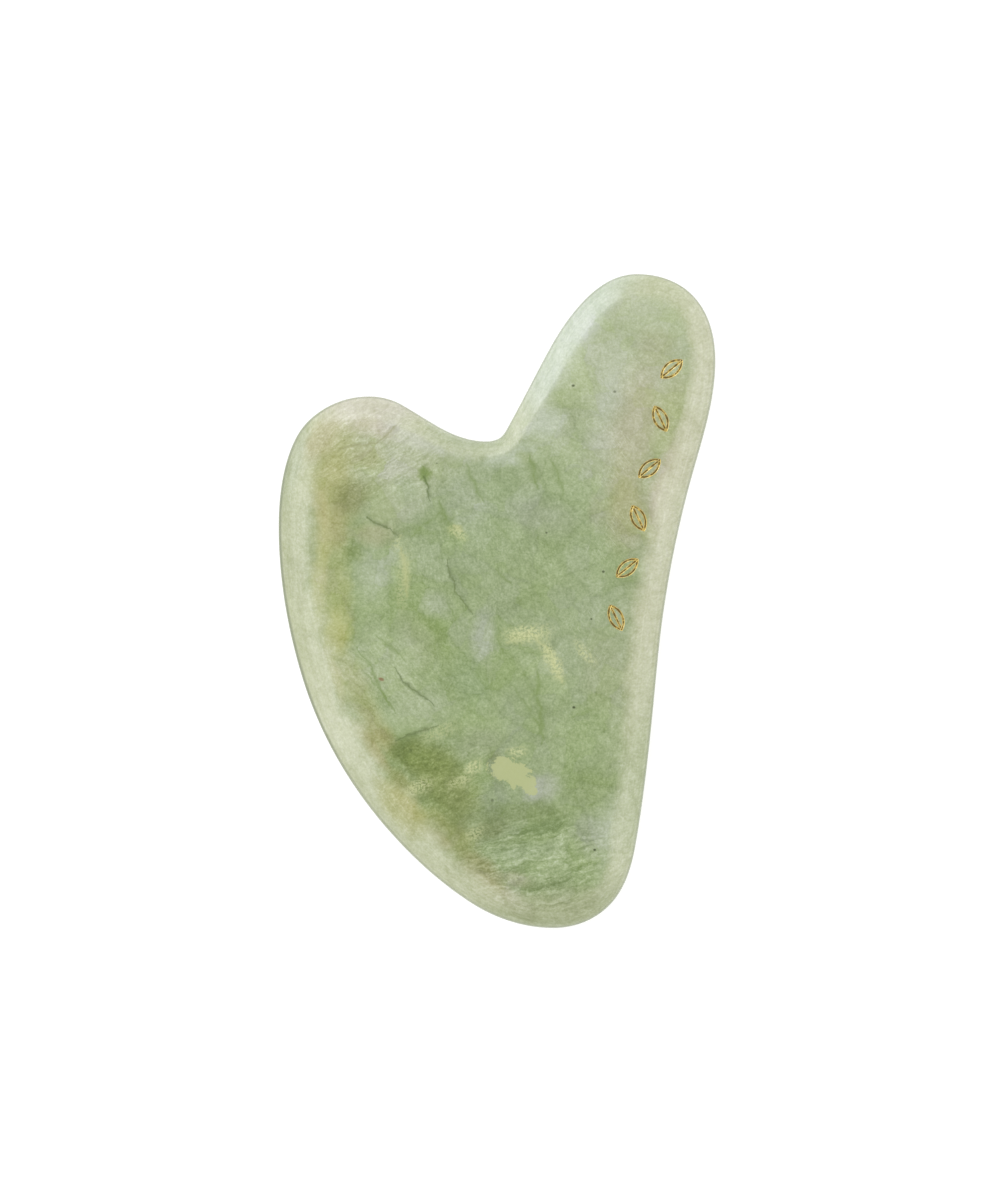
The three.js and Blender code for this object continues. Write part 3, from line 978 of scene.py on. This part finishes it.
# %% Scatter the crumbs and specks
MINERAL_DEPTH = 4
CRUMB_SOFTNESS = 0.9
CRUMB_EDGE = (0.50, 0.60)  # patch plus noise, where crumb begins and where it is full
CRYSTAL_EDGE = (-0.10, 0.08)  # noise, likewise
SPECK_DEPTH = 1.0
CRUMB_TINT, CRYSTAL_TINT, SPECK_TINT, RUST = "#BBC28F", "#CDD2A0", "#4A5238", "#8A6A4A"
CRUMBS = [
    # x, y, half length, half width, turn, raggedness
    (1.9, -25.1, 4.2, 2.2, -4, 2.2),
    (3, -26.3, 2.3, 1.9, -30, 2.2),
    (4.4, -27.5, 2.8, 1.6, -48, 2.2),
]
NESTS = [
    # x, y, half length, half width, turn, strength
    (4.8, -5, 3.8, 1.5, 6, 0.95), (8.3, -9, 3.8, 1.4, 112, 0.95), (-4, -24.8, 1.9, 1.2, 35, 0.85),
    (-5.9, -27.1, 2.3, 1, 25, 0.6), (-11.8, -28.2, 2.8, 1.1, 28, 0.7), (3.2, -22.2, 1.6, 0.8, 0, 0.8),
    (-5.9, 9.8, 1.7, 1, -40, 0.75), (-13.9, 3.6, 5.6, 1.3, 84, 0.45), (-14.6, 9, 1.6, 1, 60, 0.5),
    (13.4, -7.4, 2.6, 1, -50, 0.7), (-9, -19.5, 3.4, 1.3, 24, 0.4), (-3.2, -34.4, 2.2, 1.1, 32, 0.55),
]
SPECKS = [
    # x, y, radius, strength
    (-2.4, 22.8, 0.21, 0.5), (11.4, 32.2, 0.27, 0.8), (17.6, 31.3, 0.26, 0.6),
    (7.4, 10.2, 0.2, 0.7), (15.9, 4.4, 0.26, 0.8), (14.1, -2.7, 0.18, 0.8),
    (11.5, -15.9, 0.26, 0.9), (14.6, -37.2, 0.24, 0.9), (11.7, -46.8, 0.26, 0.9),
    (-9, 20.6, 0.17, 0.4), (-0.7, -29.8, 0.3, 0.5),
]

crumb_noise = noise(tree, place, 0.8, 5.0, 0.75)
crumb_mask = 0.0
for x, y, length, width, turn, ragged in CRUMBS:
    crumb = patch_mask(x, y, length, width, turn, CRUMB_SOFTNESS, MINERAL_DEPTH, 1.0)
    crumb = maths(tree, "MULTIPLY_ADD", crumb_noise, ragged, crumb)
    crumb_mask = maths(tree, "MAXIMUM", crumb_mask, step(tree, crumb, *CRUMB_EDGE))
colour = tinted(tree, colour, seen(CRUMB_TINT), maths(tree, "MULTIPLY", crumb_mask, 0.9))
nest_mask = 0.0
for *oval, strength in NESTS:
    nest = patch_mask(*oval, 1.0, MINERAL_DEPTH, strength)
    nest_mask = maths(tree, "MAXIMUM", nest_mask, nest)
crystals = step(tree, noise(tree, place, 2.6, 3.0, 0.7), *CRYSTAL_EDGE)
colour = tinted(tree, colour, seen(CRYSTAL_TINT), maths(tree, "MULTIPLY", nest_mask, crystals))
speck_mask = 0.0
for x, y, radius, strength in SPECKS:
    speck = patch_mask(x, y, radius, radius * 0.8, 0, 0.8, SPECK_DEPTH, strength, place)
    speck_mask = maths(tree, "MAXIMUM", speck_mask, speck)
colour = tinted(tree, colour, seen(SPECK_TINT), speck_mask)
rusty = patch_mask(-17.3, -11.7, 0.5, 0.3, -20, 0.8, SPECK_DEPTH, 0.8, place)
colour = tinted(tree, colour, seen(RUST), rusty)
print(f"{len(CRUMBS)} patches of crumb, {len(NESTS)} nests, {len(SPECKS)} specks")

# %% [markdown]
# ## The thin edge
#
# Where the stone is ground thin, light comes through it and it looks pale, milky in one stretch
# and yellow in another. That light, with some of the ground edge's reflection, is painted into the
# colour as a pale band over the edge's own tints. The paleness fades out about the ridge, so it is
# read from the edge map's V, and noise keeps its border from running straight. At the very rim one
# looks along the surface, so a thin dark line of painted shade runs there, strongest down the long
# scraping edge. Streaks from the polishing wheel run along the edge: their noise is read on a
# circle made of U, so it joins up where U starts over.

# %% Lighten the edge
PALE_FROM, PALE_TO = 1.38, 0.62  # V
PALE_STRENGTH = 0.85
RIM_SHADE_V = (0.13, 0.04)  # V
RIM_SHADE_STRENGTH, RIM_SHADE_MORE = 0.5, 0.35
PAINTED_EDGE_LIGHT, RIM_SHADE_TINT = "#CDD1B3", "#7F8869"
EDGE_LIGHT_TINTS = [
    # x, y, half length, half width, turn, softness, strength, colour
    # Partly the edge's own tint, partly a painted reflection of the key softbox on the finger's inner
    # edge.
    (11, 40, 16, 7, 60, 0.8, 1, "#CFD8C7"),  # the finger's inner side
    (27, 19, 34, 7, 80, 0.7, 1, "#D3D4B9"),  # the long side by the marks
    (20.5, -28, 11, 5, 82, 0.8, 1, "#C0C7A5"),
    (9, -47, 12, 6, 5, 0.8, 1, "#B1B894"),  # the foot
    (-14.5, -31, 6, 3, -50, 0.8, 0.9, "#B9BA88"),
    (-26, 24.6, 4.5, 2.6, 50, 0.9, 0.9, "#B4B289"),
    (-31, 19.5, 8, 2, 76, 0.9, 0.8, "#B9C0A4"),
    (-25, -16, 11, 4, 112, 0.8, 0.9, "#D8DBC0"),
    (-30.5, 8, 9, 4, 90, 0.8, 0.8, "#C6CAAD"),
    (-19, 30, 10, 4, 0, 0.8, 0.9, "#D3D1C0"),  # the short lobe
    (-4, 25, 7, 4, -15, 0.8, 0.9, "#BEC7A9"),  # the notch
]
STREAK_DEPTH = 0.5
STREAK_TURNS = 3.2
STREAKS_ACROSS = 16.0

unrolled = put(tree, "UVMap", {}, uv_map=EDGE_MAP).outputs[0]
edge_uv = put(tree, "SeparateXYZ", {0: unrolled}).outputs
angle = maths(tree, "MULTIPLY", edge_uv["X"], 2 * math.pi)
circle = put(tree, "CombineXYZ", {
    0: maths(tree, "MULTIPLY", maths(tree, "COSINE", angle), STREAK_TURNS),
    1: maths(tree, "MULTIPLY", maths(tree, "SINE", angle), STREAK_TURNS),
    2: maths(tree, "MULTIPLY", edge_uv["Y"], STREAKS_ACROSS)}).outputs[0]
streaks = noise(tree, circle, 1.0, 3.0, 0.6)
uneven = maths(tree, "ADD", noise(tree, place, 0.22, 4.0, 0.6), edge_uv["Y"])
# painted light: the pale band, over the edge's own tints, stands in for light coming through the thin
# edge
pale = step(tree, uneven, PALE_FROM, PALE_TO)
edge_light_tint = seen(PAINTED_EDGE_LIGHT)
for *shape, strength, code in EDGE_LIGHT_TINTS:
    edge_light_tint = tinted(tree, edge_light_tint, seen(code), patch_mask(*shape, THROUGH, strength))
edge_depth = maths(tree, "MULTIPLY_ADD", streaks, STREAK_DEPTH, depth)
edge_light_tint = put(tree, "Gamma", {"Color": edge_light_tint, "Gamma": edge_depth}).outputs[0]
colour = tinted(tree, colour, edge_light_tint, maths(tree, "MULTIPLY", pale, PALE_STRENGTH))
# painted shade: the thin dark line at the rim, where one looks along the surface
painted_rim_shade = step(tree, edge_uv["Y"], *RIM_SHADE_V)
long_side = patch_mask(-30, -2, 32, 14, 90, 0.8, THROUGH, 1.0)
rim_shade_strength = maths(tree, "MULTIPLY_ADD", long_side, RIM_SHADE_MORE, RIM_SHADE_STRENGTH)
colour = tinted(tree, colour, seen(RIM_SHADE_TINT), maths(tree, "MULTIPLY", painted_rim_shade, rim_shade_strength))

# %% [markdown]
# ## Polish
#
# The wheel leaves a clean gloss, hands dull it a little, and keys and trays scratch it. Roughness
# takes the smudges and scratches from the shared wear group. A Bump node takes the same scratches,
# the pits, the wheel's streaks on the edge, and a slow ripple that no hand polish is free of.
# Subsurface lets a little light pass under the surface, which softens the shading of the edge.

# %% Polish the stone
SCRATCHED = [
    # x, y, half length, half width, turn, strength
    (18.5, 31, 4, 2.5, 60, 0.9), (17.5, 21, 6, 3, 75, 1), (16.5, 9, 6, 2.4, 60, 0.9),
    (15, -7.5, 5, 2, -50, 0.9), (13, -2, 5, 2, 50, 0.7), (22, 34, 7, 6, 60, 0.3),
    (-20, 22, 6, 4, 30, 0.25),
]
SCRATCHED_OVERALL = 0.08
SCRATCH_TINT, SCRATCH_SHOWS = "#DADFCB", 0.7
POLISHED = 0.13  # roughness

scratched = SCRATCHED_OVERALL
for *oval, strength in SCRATCHED:
    scratched = maths(tree, "MAXIMUM", scratched, patch_mask(*oval, 0.8, 4, strength))
worn = put(tree, "Group", {"Place": place, "Scratches": scratched}, node_tree=wear).outputs
shown = maths(tree, "MULTIPLY", worn["Scratches"], SCRATCH_SHOWS)
colour = tinted(tree, colour, seen(SCRATCH_TINT), shown)
rough = summed(tree, POLISHED, [
    (worn["Smudges"], 0.07), (worn["Scratches"], 0.22), (worn["Pits"], 0.1)])

ripple = noise(tree, place, 0.12, 1.0)
on_edge = maths(tree, "MULTIPLY", streaks, pale)
height = summed(tree, 0.0, [  # mm
    (ripple, 0.05), (on_edge, 0.012), (worn["Scratches"], -0.004), (worn["Pits"], -0.01),
    (speck_mask, -0.02)])
fill_in(tree, polish, colour, rough, height)
set_inputs(polish, {"IOR": 1.56, "Subsurface Weight": 0.15, "Subsurface Scale": 0.0015,
                    "Subsurface Radius": (1.0, 1.15, 0.7)})
dress([stone], jade)

# %% [markdown]
# ## Gold
#
# The gold in a shallow engraved line is never one tone. It pools dark in the middle, where varnish
# and dirt stay, and it is rubbed bright at its shoulders. The height within the groove tells the
# two apart, and noise breaks them up along the line. Where dirt covers it, the gold is also duller
# and less metallic.

# %% Mix the gold
DARK_GOLD, RICH_GOLD, PALE_GOLD = (
    (0.085, 0.055, 0.008, 1), (0.64, 0.48, 0.14, 1), (0.90, 0.74, 0.34, 1))
DIRT_EDGE = (0.2, 0.6)  # pooled and broken, added up
GOLD_ROUGHNESS = 0.32

gold, tree, gleam = new_material("rubbed_gilding")
place, _ = read_place(tree)
worn = put(tree, "Group", {"Place": place, "Scratches": 0.6}, node_tree=wear).outputs
below = put(tree, "SeparateXYZ", {0: place}).outputs["Z"]
pooled = step(tree, below, -FILL_DROP, -FILL_DROP - FILL_SINK)
broken = noise(tree, place, 1.3, 3.0, 0.65)
dirt = step(tree, summed(tree, 0.0, [(pooled, 0.6), (broken, 2.0)]), *DIRT_EDGE)
rubbed = step(tree, noise(tree, place, 2.6, 2.0), -0.05, 0.2)
bright = tinted(tree, RICH_GOLD, PALE_GOLD, rubbed)
gold_colour = tinted(tree, bright, DARK_GOLD, maths(tree, "MULTIPLY", dirt, 0.9))
tree.links.new(maths(tree, "MULTIPLY_ADD", dirt, -0.35, 1.0), gleam.inputs["Metallic"])
gold_rough = summed(tree, GOLD_ROUGHNESS, [(dirt, 0.2), (worn["Scratches"], 0.15)])
grit = maths(tree, "MULTIPLY", noise(tree, place, 9.0, 2.0), 0.02)
fill_in(tree, gleam, gold_colour, gold_rough, grit)
dress(gilding, gold)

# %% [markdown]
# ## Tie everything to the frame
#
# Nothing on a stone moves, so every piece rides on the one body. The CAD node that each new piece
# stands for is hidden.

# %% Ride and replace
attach(stone, "root")
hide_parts("jade_plate")
for number, piece in enumerate(gilding, start=1):
    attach(piece, "root")
    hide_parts(f"gilded_leaf_{number}")
